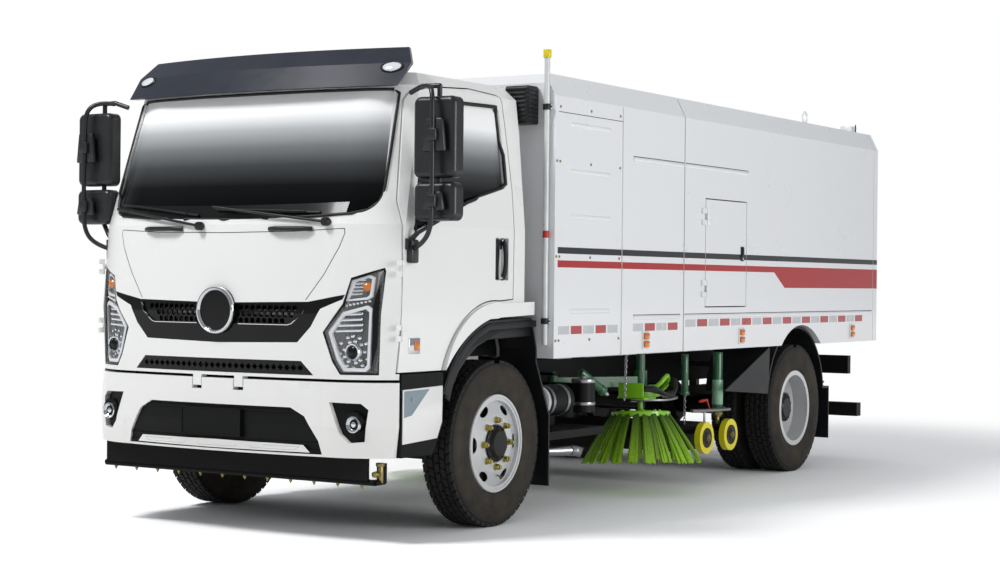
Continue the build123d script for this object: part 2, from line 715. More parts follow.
def upper_grille(grow=0):
    """The upper grille's frame, seen from the front."""
    with BuildSketch(face_on(AXLE_F - 1100)) as shape:
        with BuildLine():
            Polyline(
                (-835, 1356), (-610, 1314), (0, 1302), (610, 1314), (835, 1356), (822, 1330),
                (690, 1277), (632, 1180), (545, 1092), (0, 1080), (-545, 1092), (-632, 1180),
                (-690, 1277), (-822, 1330), close=True,
            )
        make_face()
        if grow:
            offset(amount=grow, kind=Kind.INTERSECTION)
    return shape.sketch


def lower_grille(grow=0):
    """The lower grille, seen from the front."""
    with BuildSketch(face_on(AXLE_F - 1100)) as shape:
        with BuildLine():
            Polyline((-567, 990), (567, 990), (645, 914), (-645, 914), close=True)
        make_face()
        if grow:
            offset(amount=grow, kind=Kind.INTERSECTION)
    return shape.sketch


with BuildPart() as cab_shell:
    add(cab_volume())
    add(cab_volume(CAB_WALL, CAB_FLOOR + FLOOR_T, CAB_TOP - ROOF_T), mode=Mode.SUBTRACT)
    add(cab_volume(CAB_WALL, CAB_LOW, CAB_FLOOR), mode=Mode.SUBTRACT)
    # no rear wall below the floor, and no sills below the doors
    with Locations((0, AXLE_F + 250, (CAB_LOW + CAB_FLOOR) / 2)):
        Box(2 * 1088, 500, CAB_FLOOR - CAB_LOW, mode=Mode.SUBTRACT)
    with Locations((0, AXLE_F, (CAB_LOW + CAB_SILL) / 2)):
        Box(2400, 2 * -STEP_FRONT_V + 20, CAB_SILL - CAB_LOW, mode=Mode.SUBTRACT)
    # wheel arches
    for s in (-1, 1):
        with BuildSketch(side(s * 780)):
            with BuildLine():
                ThreePointArc(at(-605, CAB_LOW), at(-385, 1105), at(-111, 1196 + GUARD_T + RUN))
                Polyline(at(-111, 1196 + GUARD_T + RUN), at(420, 1232), at(420, CAB_LOW), at(-605, CAB_LOW))
            make_face()
        extrude(amount=s * 400, mode=Mode.SUBTRACT)
        # flared lip round the arch
        with BuildSketch(side(s * 1060)):
            with BuildLine():
                ThreePointArc(at(-590, CAB_SILL), at(-385, 1112), at(-111, 1222))
                Line(at(-111, 1222), at(358, 1238))
                Line(at(358, 1238), at(358, 1316))
                Line(at(358, 1316), at(-4, 1308))
                ThreePointArc(at(-4, 1308), at(-390, 1205), at(-600 + 8, CAB_SILL + 14))
                Line(at(-592, CAB_SILL + 14), at(-590, CAB_SILL))
            make_face()
        extrude(amount=s * 48)
    # lugs on which the cab tilts
    for s in (-1, 1):
        with Locations((s * PIVOT_X, AXLE_F + PIVOT_V, (PIVOT_Z - 15 + CAB_LOW + 4) / 2)):
            Box(LUG_WIDE, 2 * LUG_HALF, CAB_LOW + 4 - PIVOT_Z + 15)
        with Locations(Location((s * PIVOT_X, AXLE_F + PIVOT_V, PIVOT_Z), (0, 90, 0))):
            Cylinder(9 + PIN_PLAY, LUG_WIDE, mode=Mode.SUBTRACT)
    for s in (-1, 1):
        extrude(door_outline(s, DOOR_GAP), amount=s * 400, mode=Mode.SUBTRACT)
        extrude(lamp_outline(s, FIT), amount=400, mode=Mode.SUBTRACT)
    extrude(screen_outline(), amount=600, mode=Mode.SUBTRACT)
    extrude(upper_grille(FIT), amount=300, mode=Mode.SUBTRACT)
    extrude(lower_grille(FIT), amount=300, mode=Mode.SUBTRACT)
    with Locations(Location((0, AXLE_F - 1236, BOSS_Z), (90, 0, 0))):
        Cylinder(BOSS_R + FIT, 180, mode=Mode.SUBTRACT)
    # hinge eyes of the doors, above and below each door knuckle
    for s in (-1, 1):
        for z in DOOR_HINGES:
            for d in (-1, 1):
                with Locations((s * DOOR_AXIS_X, AXLE_F + DOOR_AXIS_V, z + d * 30)):
                    Cylinder(8, 30)
                with Locations((s * (DOOR_AXIS_X - 6), AXLE_F + DOOR_AXIS_V - 22, z + d * 30)):
                    Box(10, 44, 30)
                with Locations((s * DOOR_AXIS_X, AXLE_F + DOOR_AXIS_V, z + d * 30)):
                    Cylinder(4 + PIN_PLAY, 30, mode=Mode.SUBTRACT)

# Windscreen
with BuildPart() as windscreen:
    extrude(screen_outline(-FIT), amount=600)
    add(cab_volume(12), mode=Mode.INTERSECT)
    add(cab_volume(20), mode=Mode.SUBTRACT)

# Sun visor over the windscreen: a bowed slab, height by height
# columns: height, half width, nose v, end v, depth
VISOR = [(2506, 985, -1015, -915, 42), (2640, 1000, -932, -806, 62), (2738, 930, -840, -728, 60)]


def visor_level(z, half, nose, end, depth):
    """One level of the visor, a bowed strip with rounded ends."""
    with BuildSketch(Plane.XY.offset(z)) as level:
        with BuildLine():
            ThreePointArc((-half, AXLE_F + end), (0, AXLE_F + nose), (half, AXLE_F + end))
            Line((half, AXLE_F + end), (half - 30, AXLE_F + end + depth))
            ThreePointArc(
                (half - 30, AXLE_F + end + depth),
                (0, AXLE_F + nose + depth),
                (-half + 30, AXLE_F + end + depth),
            )
            Line((-half + 30, AXLE_F + end + depth), (-half, AXLE_F + end))
        make_face()
    return level.sketch


with BuildPart() as sun_visor:
    loft([visor_level(*row) for row in VISOR], ruled=True)
    for s in (-1, 1):
        with Locations((s * 840, AXLE_F - 745, CAB_TOP + 20)):
            Box(60, 110, 40)

# Headlamps
with BuildPart() as headlamps:
    for s in (-1, 1):
        with BuildPart(mode=Mode.PRIVATE) as lamp:
            extrude(lamp_outline(s), amount=400)
            add(cab_volume(), mode=Mode.INTERSECT)
            add(cab_volume(CAB_WALL + 20), mode=Mode.SUBTRACT)
        add(lamp.part)

# Grilles: a dark frame with a honeycomb above, a strip of diamonds below, and a round boss in the middle
MESH_TOP = 1296
MESH_LOW = 1188
MESH_HALF = 598
MESH_FOOT = 486
CELL = 17
CELL_PITCH = 40
CELL_ROW = 35
MESH_SUNK = 12
MESH_T = 12
DIAMOND = 26
DIAMOND_PITCH = 43


def mesh_outline():
    """The honeycomb's outline, seen from the front."""
    with BuildSketch(face_on(AXLE_F - 1100)) as shape:
        with BuildLine():
            Polyline(
                (-MESH_HALF, MESH_TOP), (MESH_HALF, MESH_TOP), (MESH_HALF - 30, MESH_TOP - 60),
                (MESH_FOOT, MESH_LOW), (-MESH_FOOT, MESH_LOW), (-MESH_HALF + 30, MESH_TOP - 60), close=True,
            )
        make_face()
    return shape.sketch


def cells():
    """The honeycomb's holes: three rows of hexagons, the middle one half a pitch aside."""
    with BuildSketch(face_on(AXLE_F - 1100)) as shape:
        for row, half in ((-1, 11), (0, 12), (1, 13)):
            aside = CELL_PITCH / 2 if row == 0 else 0
            for step in range(-half, half + 1):
                x = step * CELL_PITCH + aside
                if abs(x) > BOSS_R:
                    with Locations((x, (MESH_TOP + MESH_LOW) / 2 + row * CELL_ROW)):
                        RegularPolygon(CELL, 6, rotation=30)
    return shape.sketch


def diamonds():
    """The holes of the lower strip, one row of diamonds."""
    with BuildSketch(face_on(AXLE_F - 1100)) as shape:
        for step in range(-13, 14):
            with Locations((step * DIAMOND_PITCH, 952)):
                Rectangle(DIAMOND, DIAMOND, rotation=45)
    return shape.sketch


with BuildPart() as grille:
    extrude(upper_grille(), amount=300)
    add(cab_volume(), mode=Mode.INTERSECT)
    add(cab_volume(30), mode=Mode.SUBTRACT)
    extrude(mesh_outline(), amount=300, mode=Mode.SUBTRACT)
    with BuildPart(mode=Mode.PRIVATE) as honeycomb:
        extrude(mesh_outline(), amount=300)
        add(cab_volume(MESH_SUNK), mode=Mode.INTERSECT)
        add(cab_volume(MESH_SUNK + MESH_T), mode=Mode.SUBTRACT)
        extrude(cells(), amount=300, mode=Mode.SUBTRACT)
    add(honeycomb.part)
    with Locations(Location((0, AXLE_F - FRONT_OVERHANG + 30, BOSS_Z), (90, 0, 0))):
        Cylinder(BOSS_R, 46)
        Cylinder(BOSS_R - 20, 60)
    with BuildPart(mode=Mode.PRIVATE) as strip:
        extrude(lower_grille(), amount=300)
        add(cab_volume(5), mode=Mode.INTERSECT)
        add(cab_volume(24), mode=Mode.SUBTRACT)
        extrude(diamonds(), amount=300, mode=Mode.SUBTRACT)
    add(strip.part)

# Wipers: two arms with blades
# columns: pivot x, pivot v, pivot z, tip x, tip v, tip z
WIPERS = [(-158, -1216, 1732, -850, -1142, 1838), (700, -1168, 1752, -60, -1212, 1838)]
with BuildPart() as wipers:
    for px, pv, pz, tx, tv, tz in WIPERS:
        with Locations(Location((px, AXLE_F + pv + 10, pz), (90, 0, 0))):
            Cylinder(20, 50)
        bend = (px + (tx - px) * 0.45, AXLE_F + pv + (tv - pv) * 0.45 - 14, pz + (tz - pz) * 0.45)
        tube([(px, AXLE_F + pv - 6, pz), bend, (tx, AXLE_F + tv - 8, tz)], 8)
    add(cab_volume(), mode=Mode.SUBTRACT)

# Dashboard with the steering wheel
WHEEL_X = 430
with BuildPart() as dashboard:
    with BuildSketch(side(-960)):
        with BuildLine():
            Polyline(at(-1080, 1330), at(-1080, 1640), at(-1020, 1700), at(-760, 1690), at(-700, 1600),
                     at(-760, 1400), at(-900, 1330), close=True)
        make_face()
    extrude(amount=1920)
    add(cab_volume(CAB_WALL + 26, CAB_FLOOR + FLOOR_T + FIT, 2000), mode=Mode.INTERSECT)
    tube([(WHEEL_X, AXLE_F - 880, 1450), (WHEEL_X, AXLE_F - 590, 1720)], 28)
    steering_plane = Plane(origin=(WHEEL_X, AXLE_F - 590, 1720), x_dir=(1, 0, 0), z_dir=(0, 290, 270))
    with BuildSketch(steering_plane) as wheel_boss:
        Circle(60)
    extrude(wheel_boss.sketch, amount=24)
    with BuildPart(steering_plane, mode=Mode.PRIVATE) as ring:
        Torus(215, 16)
        Box(430, 34, 16)
        with Locations((0, -105, 0)):
            Box(34, 200, 16)
    add(ring.part)
    with Locations((0, AXLE_F - 1030, (CAB_FLOOR + FLOOR_T + 1340) / 2)):
        Box(1500, 60, 1340 - CAB_FLOOR - FLOOR_T)

# Seats: base, cushion and back, for the driver and a bench for two
with BuildPart() as seats:
    for x, wide in ((430, 540), (-350, 860)):
        with Locations((x, AXLE_F - 130, (CAB_FLOOR + FLOOR_T + 1400) / 2)):
            Box(wide - 80, 440, 1400 - CAB_FLOOR - FLOOR_T)
        with Locations((x, AXLE_F - 160, 1460)):
            Box(wide, 500, 120)
        with Locations(Location((x, AXLE_F + 72, 1790), (-9, 0, 0))):
            Box(wide, 110, 660)


def make_door():
    """The left door: a flanged outer panel on a smaller inner frame, with the window cut through."""
    skin = CAB_WALL / 2
    with BuildPart() as door:
        extrude(door_outline(1), amount=400)
        add(cab_volume(), mode=Mode.INTERSECT)
        add(cab_volume(skin), mode=Mode.SUBTRACT)
        with BuildPart(mode=Mode.PRIVATE) as frame:
            extrude(door_outline(1, -14), amount=400)
            add(cab_volume(skin - 1), mode=Mode.INTERSECT)
            add(cab_volume(CAB_WALL), mode=Mode.SUBTRACT)
        add(frame.part)
        extrude(window_outline(1), amount=400, mode=Mode.SUBTRACT)
        # handle recess with its grip
        with Locations((1088, AXLE_F + 17, 1566)):
            Box(50, 143, 247, mode=Mode.SUBTRACT)
        with Locations((1076, AXLE_F + 17, 1566)):
            Box(18, 40, 247)
        # hinge knuckles with their pins
        for z in DOOR_HINGES:
            with Locations((DOOR_AXIS_X, AXLE_F + DOOR_AXIS_V, z)):
                Cylinder(8, 28)
                Cylinder(4, 90)
            with Locations((DOOR_AXIS_X - 6, AXLE_F + DOOR_AXIS_V + 28, z)):
                Box(10, 56, 28)
    return door.part


def make_glass():
    """The left side window."""
    with BuildPart() as glass:
        extrude(window_outline(1, -FIT), amount=400)
        add(cab_volume(24), mode=Mode.INTERSECT)
        add(cab_volume(30), mode=Mode.SUBTRACT)
    return glass.part


MIRROR_X = 1232
MIRROR_V = -868


def make_mirror():
    """The left mirrors: two housings on one bar with its two arms."""
    with BuildPart() as mirrors:
        tube([(1040, AXLE_F + MIRROR_V, 2465), (1128, AXLE_F + MIRROR_V - 20, 2495),
              (MIRROR_X, AXLE_F + MIRROR_V, 2495), (MIRROR_X, AXLE_F + MIRROR_V, 1766),
              (1140, AXLE_F - 925, 1700), (1080, AXLE_F - 939, 1640)], 14)
        for low, high, x0, x1 in ((1991, 2433, 1109, 1382), (1759, 1969, 1115, 1385)):
            with BuildPart(mode=Mode.PRIVATE) as housing:
                with Locations(((x0 + x1) / 2, AXLE_F + MIRROR_V - 35, (low + high) / 2)):
                    Box(x1 - x0, 90, high - low)
                fillet(housing.edges().filter_by(Axis.Y), 40)
                fillet(housing.faces().sort_by(Axis.Y)[0].edges(), 30)
            add(housing.part)
        with Locations((1096, AXLE_F - 939, 1634)):
            Box(24, 70, 60)
        add(cab_volume(), mode=Mode.SUBTRACT)
    return mirrors.part


with BuildPart() as door_left:
    add(make_door())
with BuildPart() as door_right:
    add(mirror(door_left.part, about=Plane.YZ, mode=Mode.PRIVATE))
with BuildPart() as door_glass_left:
    add(make_glass())
with BuildPart() as door_glass_right:
    add(mirror(door_glass_left.part, about=Plane.YZ, mode=Mode.PRIVATE))
with BuildPart() as mirror_left:
    add(make_mirror())
with BuildPart() as mirror_right:
    add(mirror(mirror_left.part, about=Plane.YZ, mode=Mode.PRIVATE))

# Steering knuckles: yoke round the axle's boss, king pin and spindle
with BuildPart() as knuckle_left:
    for z in (TYRE_R + 65 + 5 + 12, TYRE_R - 65 - 5 - 12):
        with Locations((KINGPIN_X, AXLE_F, z)):
            Cylinder(45, 24)
    with Locations((KINGPIN_X, AXLE_F, TYRE_R)):
        Cylinder(20, 2 * (65 + 5 + 24))
    with Locations((KINGPIN_X + 62, AXLE_F, TYRE_R)):
        Box(20, 90, 2 * (65 + 5 + 24))
    with Locations((KINGPIN_X + 32, AXLE_F, TYRE_R + 82), (KINGPIN_X + 32, AXLE_F, TYRE_R - 82)):
        Box(60, 90, 24)
    tube([(KINGPIN_X + 70, AXLE_F, TYRE_R), (FRONT_TRACK_X + 90, AXLE_F, TYRE_R)], 30)
    tube([(KINGPIN_X, AXLE_F + 30, TYRE_R - 85), (KINGPIN_X - 25, AXLE_F + 230, TYRE_R - 85)], 18)
with BuildPart() as knuckle_right:
    add(mirror(knuckle_left.part, about=Plane.YZ, mode=Mode.PRIVATE))

# Tie rod behind the axle
with BuildPart() as tie_rod:
    tube([(-KINGPIN_X + 25, AXLE_F + 230, TYRE_R - 130), (KINGPIN_X - 25, AXLE_F + 230, TYRE_R - 130)], 18)
    for s in (-1, 1):
        with Locations((s * (KINGPIN_X - 30), AXLE_F + 230, TYRE_R - 103 - PIN_PLAY)):
            Cylinder(10, 26, align=(Align.CENTER, Align.CENTER, Align.MAX))

# Wheels
# tread ring profile: radius, distance from the wheel's centre plane
GROOVES = (-60, -20, 20, 60)


def tyre(x):
    """A tyre centred at x on its wheel's axle line, revolved about that line."""
    with BuildPart(mode=Mode.PRIVATE) as ring:
        with BuildSketch(Plane(origin=(x, 0, 0), x_dir=(1, 0, 0), z_dir=(0, -1, 0))):
            with BuildLine():
                Polyline((-RIM_HALF + 8, BEAD_R), (-RIM_HALF + 8, FLANGE_R - 8),
                         (-RIM_HALF - 6, FLANGE_R + 4))
                ThreePointArc((-RIM_HALF - 6, FLANGE_R + 4), (-TYRE_HALF, 385), (-96, TYRE_R - 16))
                Polyline((-96, TYRE_R - 16), (-88, TYRE_R - 6), (-88, TYRE_R - 1), (0, TYRE_R),
                         (88, TYRE_R - 1),
                         (88, TYRE_R - 6), (96, TYRE_R - 16))
                ThreePointArc((96, TYRE_R - 16), (TYRE_HALF, 385), (RIM_HALF + 6, FLANGE_R + 4))
                Polyline((RIM_HALF + 6, FLANGE_R + 4), (RIM_HALF - 8, FLANGE_R - 8), (RIM_HALF - 8, BEAD_R),
                         (-RIM_HALF + 8, BEAD_R))
            make_face()
            with Locations(*[(g, TYRE_R) for g in GROOVES]):
                Rectangle(9, 26, mode=Mode.SUBTRACT)
        revolve(axis=Axis.X)
    return ring.part


def disc_wheel(x, dish, out):
    """A rim with a dished disc, its bolting face at dish from its centre plane, towards out."""
    t = 10
    with BuildPart(mode=Mode.PRIVATE) as wheel:
        with BuildSketch(Plane(origin=(x, 0, 0), x_dir=(1, 0, 0), z_dir=(0, -1, 0))):
            with BuildLine():
                Polyline(
                    (-RIM_HALF, FLANGE_R - 8), (-RIM_HALF + 8 - FIT, FLANGE_R - 8),
                    (-RIM_HALF + 8 - FIT, BEAD_R - FIT),
                    (RIM_HALF - 8 + FIT, BEAD_R - FIT), (RIM_HALF - 8 + FIT, FLANGE_R - 8),
                    (RIM_HALF, FLANGE_R - 8),
                    (RIM_HALF, BEAD_R - t), (-RIM_HALF, BEAD_R - t), close=True,
                )
            make_face()
        revolve(axis=Axis.X)
        with BuildSketch(Plane(origin=(x, 0, 0), x_dir=(1, 0, 0), z_dir=(0, -1, 0))):
            with BuildLine():
                Polyline(
                    (dish - out * t, HUB_R - 25), (dish - out * t, 175), (out * 20, BEAD_R - t),
                    (out * 20 + out * 30, BEAD_R - t), (dish, 185), (dish, HUB_R - 25), close=True,
                )
            make_face()
        revolve(axis=Axis.X)
        with Locations(Plane(origin=(x, 0, 0), x_dir=(0, 1, 0), z_dir=(1, 0, 0))):
            with PolarLocations(212, 8, start_angle=22.5):
                Cylinder(24, 4 * RIM_HALF, mode=Mode.SUBTRACT)
    return wheel.part


def put(piece, y, s=1):
    """A wheel part, made on the X axis, set on its axle; s is -1 for the right side."""
    placed = piece if s == 1 else mirror(piece, about=Plane.YZ, mode=Mode.PRIVATE)
    return placed.moved(Location((0, y, TYRE_R)))


front_tyre = tyre(FRONT_TRACK_X)
with BuildPart() as front_wheel:
    add(disc_wheel(FRONT_TRACK_X, 55, 1))
    with Locations(Location((FRONT_TRACK_X + 20, 0, 0), (0, 90, 0))):
        Cylinder(HUB_R, 150)
        Cylinder(30 + 0.05, 150, mode=Mode.SUBTRACT)
    with Locations(Location((FRONT_TRACK_X + 110, 0, 0), (0, 90, 0))):
        Cone(75, 55, 30)
    with Locations(Plane(origin=(FRONT_TRACK_X + 68, 0, 0), x_dir=(0, 1, 0), z_dir=(1, 0, 0))):
        with PolarLocations(STUD_CIRCLE / 2, 8):
            Cylinder(15, 26)
rear_tyres = [tyre(REAR_OUTER_X), tyre(REAR_OUTER_X - DUAL_SPACING)]
with BuildPart() as rear_wheel:
    add(disc_wheel(REAR_OUTER_X, -DUAL_SPACING / 2, -1))
    add(disc_wheel(REAR_OUTER_X - DUAL_SPACING, DUAL_SPACING / 2, 1))
    with Locations(Location((REAR_OUTER_X - DUAL_SPACING / 2 + 30, 0, 0), (0, 90, 0))):
        Cylinder(HUB_R, 240)
        Cylinder(48 + 0.05, 240, mode=Mode.SUBTRACT)
    with Locations(Location((REAR_OUTER_X + 17, 0, 0), (0, 90, 0))):
        Cylinder(80, 24)
    with Locations(Plane(origin=(REAR_OUTER_X - DUAL_SPACING / 2 + 23, 0, 0), x_dir=(0, 1, 0),
                         z_dir=(1, 0, 0))):
        with PolarLocations(STUD_CIRCLE / 2, 8):
            Cylinder(15, 26)

wheels = {}
for label, s, y, rubber, steel in (
    ("fl", 1, AXLE_F, [front_tyre], front_wheel.part), ("fr", -1, AXLE_F, [front_tyre], front_wheel.part),
    ("rl", 1, AXLE_R, rear_tyres, rear_wheel.part), ("rr", -1, AXLE_R, rear_tyres, rear_wheel.part),
):
    with BuildPart() as tyre_node:
        for ring in rubber:
            add(put(ring, y, s))
    with BuildPart() as rim_node:
        add(put(steel, y, s))
    wheels["tyre_" + label] = tyre_node
    wheels["rim_" + label] = rim_node

# Hopper: a tipping shell, open to the rear, with a service door opening in its left wall
SIDE_DOOR = (2513, 3193, 1270, 2030)
HOPPER_FRONT_V = BOX_REAR_V + HOPPER_GAP
HOPPER_REAR_V = WHEELBASE + REAR_OVERHANG - TAILGATE_T - RUN
ARCH_T = 16
LUG_IN = RAIL_OUT + PIVOT_PLATE + RUN
SIDE_GAP = 8
SIDE_AXIS_X = BODY_HALF + 14
SIDE_AXIS_V = SIDE_DOOR[0] + SIDE_GAP
SIDE_HINGES = (1400, 1900)
GATE_AXIS_V = HOPPER_REAR_V + RUN / 2
GATE_AXIS_Z = BODY_TOP + 24
GATE_EYES = (-760, 0, 760)
with BuildPart() as hopper:
    add(body_outline(HOPPER_FRONT_V, HOPPER_REAR_V))
    add(body_outline(HOPPER_FRONT_V + WALL, HOPPER_REAR_V, WALL), mode=Mode.SUBTRACT)
    v0, v1, z0, z1 = SIDE_DOOR
    with Locations((BODY_HALF, AXLE_F + (v0 + v1) / 2, (z0 + z1) / 2)):
        Box(3 * WALL, v1 - v0, z1 - z0, mode=Mode.SUBTRACT)
    for s in (-1, 1):
        # wheel arch, walled off from the load
        for radius, x0, mode in ((FENDER_R + GUARD_T + 12 + ARCH_T, FENDER_IN - 20 - ARCH_T, Mode.ADD),
                                 (FENDER_R + GUARD_T + 12, FENDER_IN - 20, Mode.SUBTRACT)):
            with BuildSketch(side(s * x0)) as arch:
                with Locations(at(FENDER_V, FENDER_Z)):
                    Circle(radius)
                with Locations(at(FENDER_V, BODY_LOW + (1 if mode == Mode.ADD else 0) - 500)):
                    Rectangle(1400, 1000, mode=Mode.SUBTRACT)
            extrude(arch.sketch, amount=s * (BODY_HALF - x0), mode=mode)
        # runners that rest on the rails
        for r0, r1 in ((HOPPER_FRONT_V, 5200),):
            with Locations((s * (RAIL_OUT - 40), AXLE_F + (r0 + r1) / 2, (RAIL_HIGH + FIT + BODY_LOW) / 2)):
                Box(80, r1 - r0, BODY_LOW - RAIL_HIGH - FIT)
        # pivot lug with its pin
        with BuildSketch(side(s * LUG_IN)) as lug:
            with Locations(at(HOPPER_PIVOT_V, HOPPER_PIVOT_Z)):
                Circle(34)
            with Locations(at(HOPPER_PIVOT_V, (HOPPER_PIVOT_Z + BODY_LOW) / 2)):
                Rectangle(68, BODY_LOW - HOPPER_PIVOT_Z)
        extrude(lug.sketch, amount=s * 16)
        with BuildSketch(side(s * (RAIL_OUT + 2))) as pin:
            with Locations(at(HOPPER_PIVOT_V, HOPPER_PIVOT_Z)):
                Circle(PIN_R)
        extrude(pin.sketch, amount=s * (LUG_IN + 16 - RAIL_OUT - 2))
        # ears beside the eye of the tipping cylinder
        for d in (-1, 1):
            with Locations((s * CYL_X + d * (ROD_R + RUN + 6), AXLE_F + CYL_EYE[0],
                            (CYL_EYE[1] + BODY_LOW) / 2 - 10)):
                Box(12, 80, BODY_LOW - CYL_EYE[1] + 20)

    # hinge eyes of the service door, above and below each knuckle
    for z in SIDE_HINGES:
        for d in (-1, 1):
            with Locations((SIDE_AXIS_X, AXLE_F + SIDE_AXIS_V, z + d * 40)):
                Cylinder(12, 36)
            with Locations((BODY_HALF + 6, AXLE_F + SIDE_AXIS_V - 40, z + d * 40)):
                Box(16, 70, 36)
            with Locations((SIDE_AXIS_X, AXLE_F + SIDE_AXIS_V, z + d * 40)):
                Cylinder(6 + PIN_PLAY, 36, mode=Mode.SUBTRACT)
    # hinge eyes of the tailgate on the roof's rear edge
    for x in GATE_EYES:
        with Locations((x, AXLE_F + GATE_AXIS_V - 25, (BODY_TOP + GATE_AXIS_Z) / 2)):
            Box(50, 50, GATE_AXIS_Z - BODY_TOP)
        with Locations(Location((x, AXLE_F + GATE_AXIS_V, GATE_AXIS_Z), (0, 90, 0))):
            Cylinder(16, 50)
            Cylinder(8 + PIN_PLAY, 50, mode=Mode.SUBTRACT)

# Service door on the hopper's left side
with BuildPart() as side_door:
    with Locations((BODY_HALF - WALL / 2, AXLE_F + (v0 + v1) / 2, (z0 + z1) / 2)):
        Box(WALL, v1 - v0 - 2 * SIDE_GAP, z1 - z0 - 2 * SIDE_GAP)
    for z in SIDE_HINGES:
        with Locations((SIDE_AXIS_X, AXLE_F + SIDE_AXIS_V, z)):
            Cylinder(12, 40)
            Cylinder(6, 118)
        with Locations((BODY_HALF + 6, AXLE_F + SIDE_AXIS_V + 50, z)):
            Box(16, 90, 40)

# Tailgate, hung from the roof's rear edge
with BuildPart() as tailgate:
    add(body_outline(WHEELBASE + REAR_OVERHANG - TAILGATE_T, WHEELBASE + REAR_OVERHANG))
    # arms with the hinge pins, beside the hopper's eyes
    for x in GATE_EYES:
        for d in (-1, 1):
            with Locations((x + d * 42, AXLE_F + GATE_AXIS_V + 30, (BODY_TOP + GATE_AXIS_Z) / 2)):
                Box(30, 54, GATE_AXIS_Z - BODY_TOP)
            with Locations(Location((x + d * 42, AXLE_F + GATE_AXIS_V, GATE_AXIS_Z), (0, 90, 0))):
                Cylinder(14, 30)
        with Locations(Location((x, AXLE_F + GATE_AXIS_V, GATE_AXIS_Z), (0, 90, 0))):
            Cylinder(8, 60)

# Tipping cylinders between the rails, their rods in the barrels' bores
fv, fz = CYL_FOOT
ev, ez = CYL_EYE
CYL_LONG = hypot(ev - fv, ez - fz)
uv, uz = (ev - fv) / CYL_LONG, (ez - fz) / CYL_LONG
BARREL_LONG = 770
with BuildPart() as tip_barrels:
    for s in (-1, 1):
        tube([(s * CYL_X, AXLE_F + fv + uv * 30, fz + uz * 30),
              (s * CYL_X, AXLE_F + fv + uv * BARREL_LONG, fz + uz * BARREL_LONG)], 52)
        with BuildSketch(side(s * CYL_X - 25)) as eye:
            with Locations(at(fv, fz)):
                Circle(45)
        extrude(eye.sketch, amount=50)
        with BuildSketch(side(s * CYL_X - 60)) as eye:
            with Locations(at(fv, fz)):
                Circle(PIN_R + PIN_PLAY)
        extrude(eye.sketch, amount=120, mode=Mode.SUBTRACT)
        with BuildSketch(Plane(origin=(s * CYL_X, AXLE_F + fv + uv * 50, fz + uz * 50),
                               z_dir=(0, uv, uz))) as bore:
            Circle(ROD_R + PIN_PLAY)
        extrude(bore.sketch, amount=BARREL_LONG, mode=Mode.SUBTRACT)
with BuildPart() as tip_rods:
    for s in (-1, 1):
        tube([(s * CYL_X, AXLE_F + fv + uv * 60, fz + uz * 60), (s * CYL_X, AXLE_F + ev, ez)], ROD_R)
        with BuildSketch(side(s * CYL_X - 22)) as eye:
            with Locations(at(ev, ez)):
                Circle(42)
        extrude(eye.sketch, amount=44)

# Suction nozzle across the truck, with its duct collar and caster brackets
with BuildPart() as nozzle:
    with BuildSketch(side(-NOZZLE_HALF)):
        with BuildLine():
            Polyline(
                at(NOZZLE_V - NOZZLE_LONG / 2, NOZZLE_LOW), at(NOZZLE_V + NOZZLE_LONG / 2, NOZZLE_LOW),
                at(NOZZLE_V + NOZZLE_LONG / 2, NOZZLE_LOW + 90), at(NOZZLE_V + 170, NOZZLE_HIGH),
                at(NOZZLE_V - 170, NOZZLE_HIGH), at(NOZZLE_V - NOZZLE_LONG / 2, NOZZLE_LOW + 90),
                close=True,
            )
        make_face()
    extrude(amount=2 * NOZZLE_HALF)
    offset(amount=-12, openings=nozzle.faces().sort_by(Axis.Z)[0])
    with Locations((DUCT_X, AXLE_F + NOZZLE_V, NOZZLE_HIGH - 6)):
        Cylinder(DUCT_R + RUN + 12, 30)
        Cylinder(DUCT_R + RUN, 60, mode=Mode.SUBTRACT)
    with Locations((DUCT_X, AXLE_F + NOZZLE_V, NOZZLE_HIGH + 40)):
        Cylinder(DUCT_R + RUN + 12, 80)
        Cylinder(DUCT_R + RUN, 80, mode=Mode.SUBTRACT)
    for s in (-1, 1):
        with Locations((s * GUIDE_X, AXLE_F + NOZZLE_V, (NOZZLE_HIGH - 6 + 940) / 2)):
            Cylinder(GUIDE_R, 940 - NOZZLE_HIGH + 6)
        with Locations((s * (NOZZLE_HALF + 45), AXLE_F + NOZZLE_V, CASTER_Z + 40)):
            Box(90, 2 * CASTER_SPREAD / 2 + 60, 30)
        for d in (-1, 1):
            with Locations((s * (CASTER_X - 45), AXLE_F + NOZZLE_V + d * CASTER_SPREAD / 2, CASTER_Z + 10)):
                Box(14, 50, 90)
            with Locations((s * (CASTER_X - 70), AXLE_F + NOZZLE_V + d * CASTER_SPREAD / 2, CASTER_Z + 40)):
                Box(64, 50, 30)
            with BuildSketch(side(s * (CASTER_X - 50))) as pin:
                with Locations(at(NOZZLE_V + d * CASTER_SPREAD / 2, CASTER_Z)):
                    Circle(12)
            extrude(pin.sketch, amount=s * 80)


def caster_row(d):
    """The two caster wheels on one axle line, one on each side."""
    with BuildPart(mode=Mode.PRIVATE) as row:
        for s in (-1, 1):
            with Locations(Location((s * CASTER_X, AXLE_F + NOZZLE_V + d * CASTER_SPREAD / 2,
                                     CASTER_Z), (0, 90, 0))):
                Cylinder(CASTER_R, 44)
                Cylinder(12.05, 44, mode=Mode.SUBTRACT)
    return row.part


with BuildPart() as casters_front:
    add(caster_row(-1))
with BuildPart() as casters_rear:
    add(caster_row(1))

# Side brushes
SPINDLE = Vector(-sin(radians(TILT)), sin(radians(TILT)), cos(radians(TILT))).normalized()
POST_R = 30
SLEEVE_R = 44
SHAFT_R = 20


